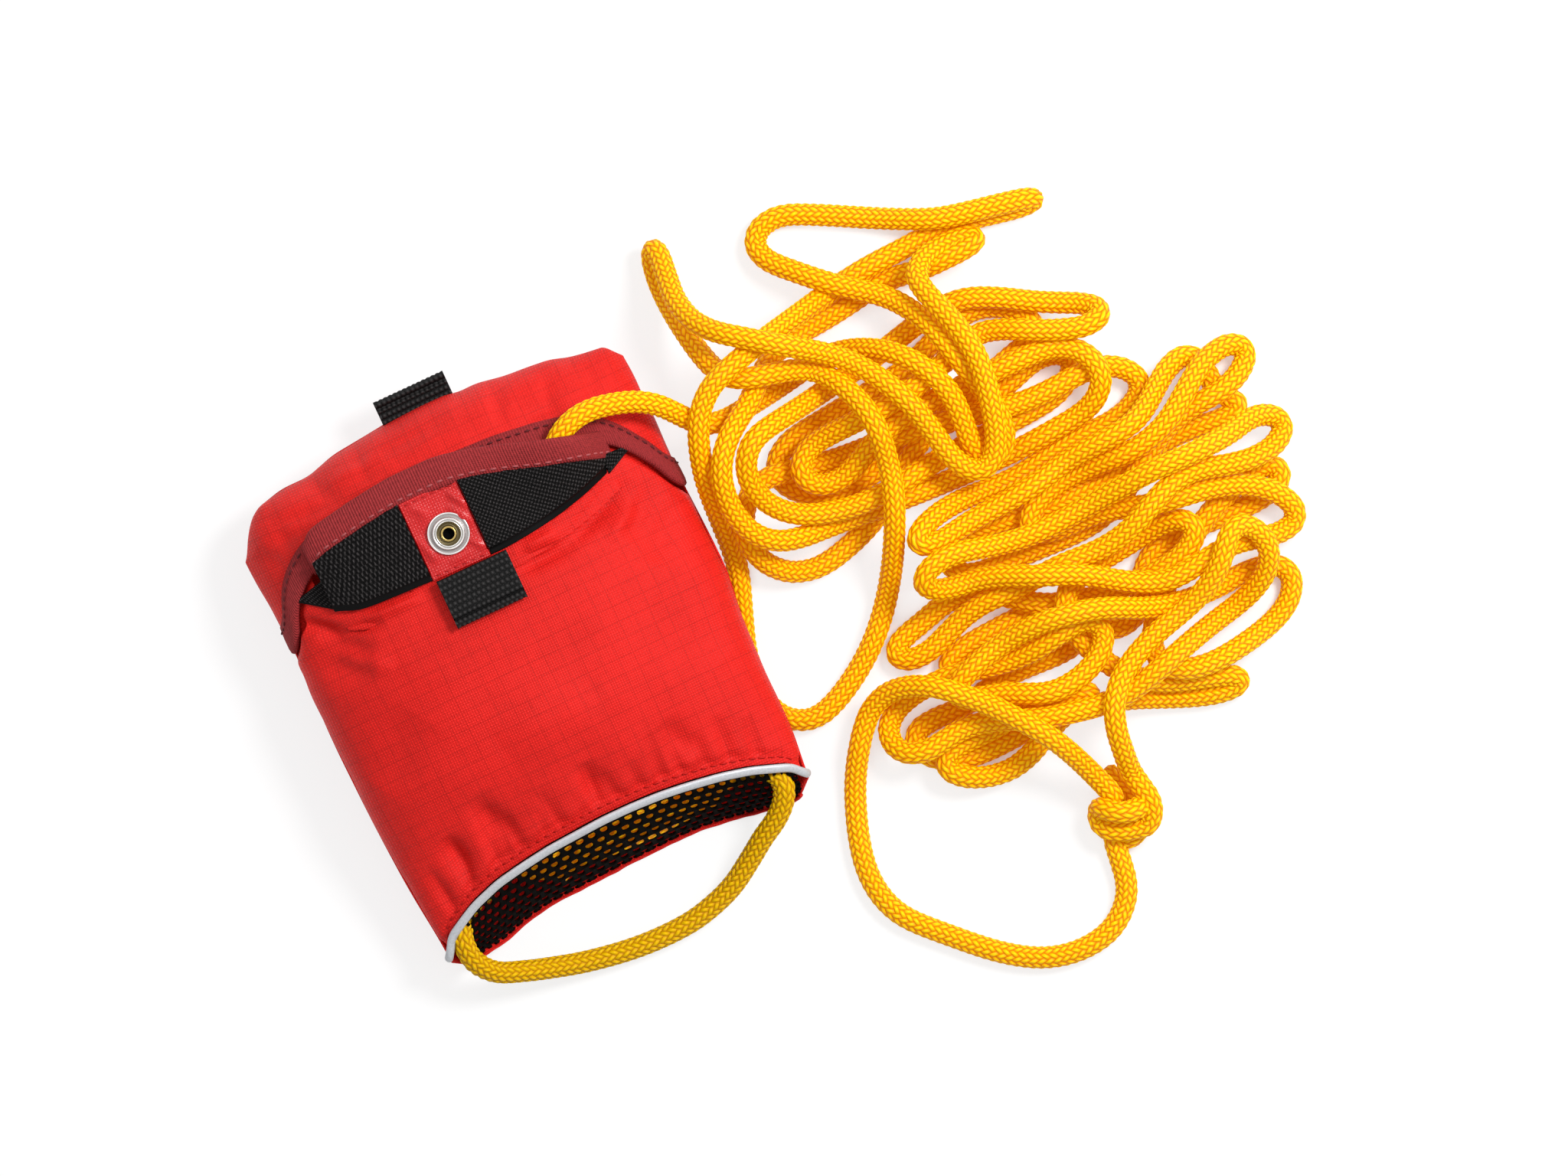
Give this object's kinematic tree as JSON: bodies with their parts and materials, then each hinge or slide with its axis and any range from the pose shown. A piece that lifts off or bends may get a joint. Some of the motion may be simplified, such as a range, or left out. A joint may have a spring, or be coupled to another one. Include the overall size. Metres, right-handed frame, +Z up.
{
  "type": "throw rope bag",
  "caption": "Soft nylon throw bag lying on its back, with a turned-up mouth lip, pull tabs, a rope handle at its mesh base and floating rope spilled in loops beside it.",
  "frame": {"origin": "on the floor under the middle of the bag with its handle and tabs, the loose rope left out", "axes": "+Z up from the floor, +Y from the mesh base to the mouth, +X to the side where the rope lies"},
  "size_m": [0.3302, 0.2745, 0.0619],
  "materials": {
    "red_nylon": "coated ripstop nylon with a slight sheen",
    "coated_patch": "glossy coated nylon",
    "grosgrain": "ribbed grosgrain binding",
    "mesh": "knitted drainage mesh",
    "reflective_tape": "light grey reflective piping",
    "webbing": "ribbed nylon webbing",
    "hook_tape": "hook and loop tape",
    "rope": "braided floating rope",
    "foam": "closed-cell foam",
    "nickel": "nickel-plated snap",
    "brass": "brass post"
  },
  "bodies": {
    "bag": {"front_panel": "red_nylon", "back_panel": "red_nylon", "tuck_left": "red_nylon", "tuck_right": "red_nylon", "hood": "red_nylon", "hood_binding": "grosgrain", "base_mesh": "mesh", "base_piping": "reflective_tape", "foam_float": "foam", "packed_rope": "rope", "loop_strip_left": "hook_tape", "loop_strip_right": "hook_tape", "rope_lead": "rope", "rope_heap_upper": "rope", "rope_under_bag": "rope", "rope_heap": "rope", "end_loop": "rope", "end_knot": "rope"},
    "lip": {"front_lip": "red_nylon", "lip_binding": "grosgrain", "hook_strip_left": "hook_tape", "hook_strip_right": "hook_tape", "snap_patch": "coated_patch", "snap_flange": "nickel", "snap_post": "brass"},
    "front_tab_body": {"front_tab": "webbing"},
    "back_tab_body": {"back_tab": "webbing"},
    "handle": {"handle_loop": "rope", "handle_knot_left": "rope", "handle_knot_right": "rope"}
  },
  "joints": [
    {"name": "lip_fold", "type": "hinge", "parent": "bag", "child": "lip", "pos_m": [0, 0.0395, 0.052], "axis": [1, 0, 0], "range_deg": [0, 80]},
    {"name": "front_tab_flap", "type": "hinge", "parent": "bag", "child": "front_tab_body", "pos_m": [0, 0.0385, 0.0523], "axis": [-1, 0, 0], "range_deg": [0, 80]},
    {"name": "back_tab_flap", "type": "hinge", "parent": "bag", "child": "back_tab_body", "pos_m": [0, 0.0944, 0.019], "axis": [1, 0, 0], "range_deg": [-60, 60], "stiffness_Nm_per_rad": 0.002},
    {"name": "handle_swing", "type": "hinge", "parent": "bag", "child": "handle", "pos_m": [0, -0.0705, 0.018], "axis": [-1, 0, 0], "range_deg": [0, 55]}
  ]
}
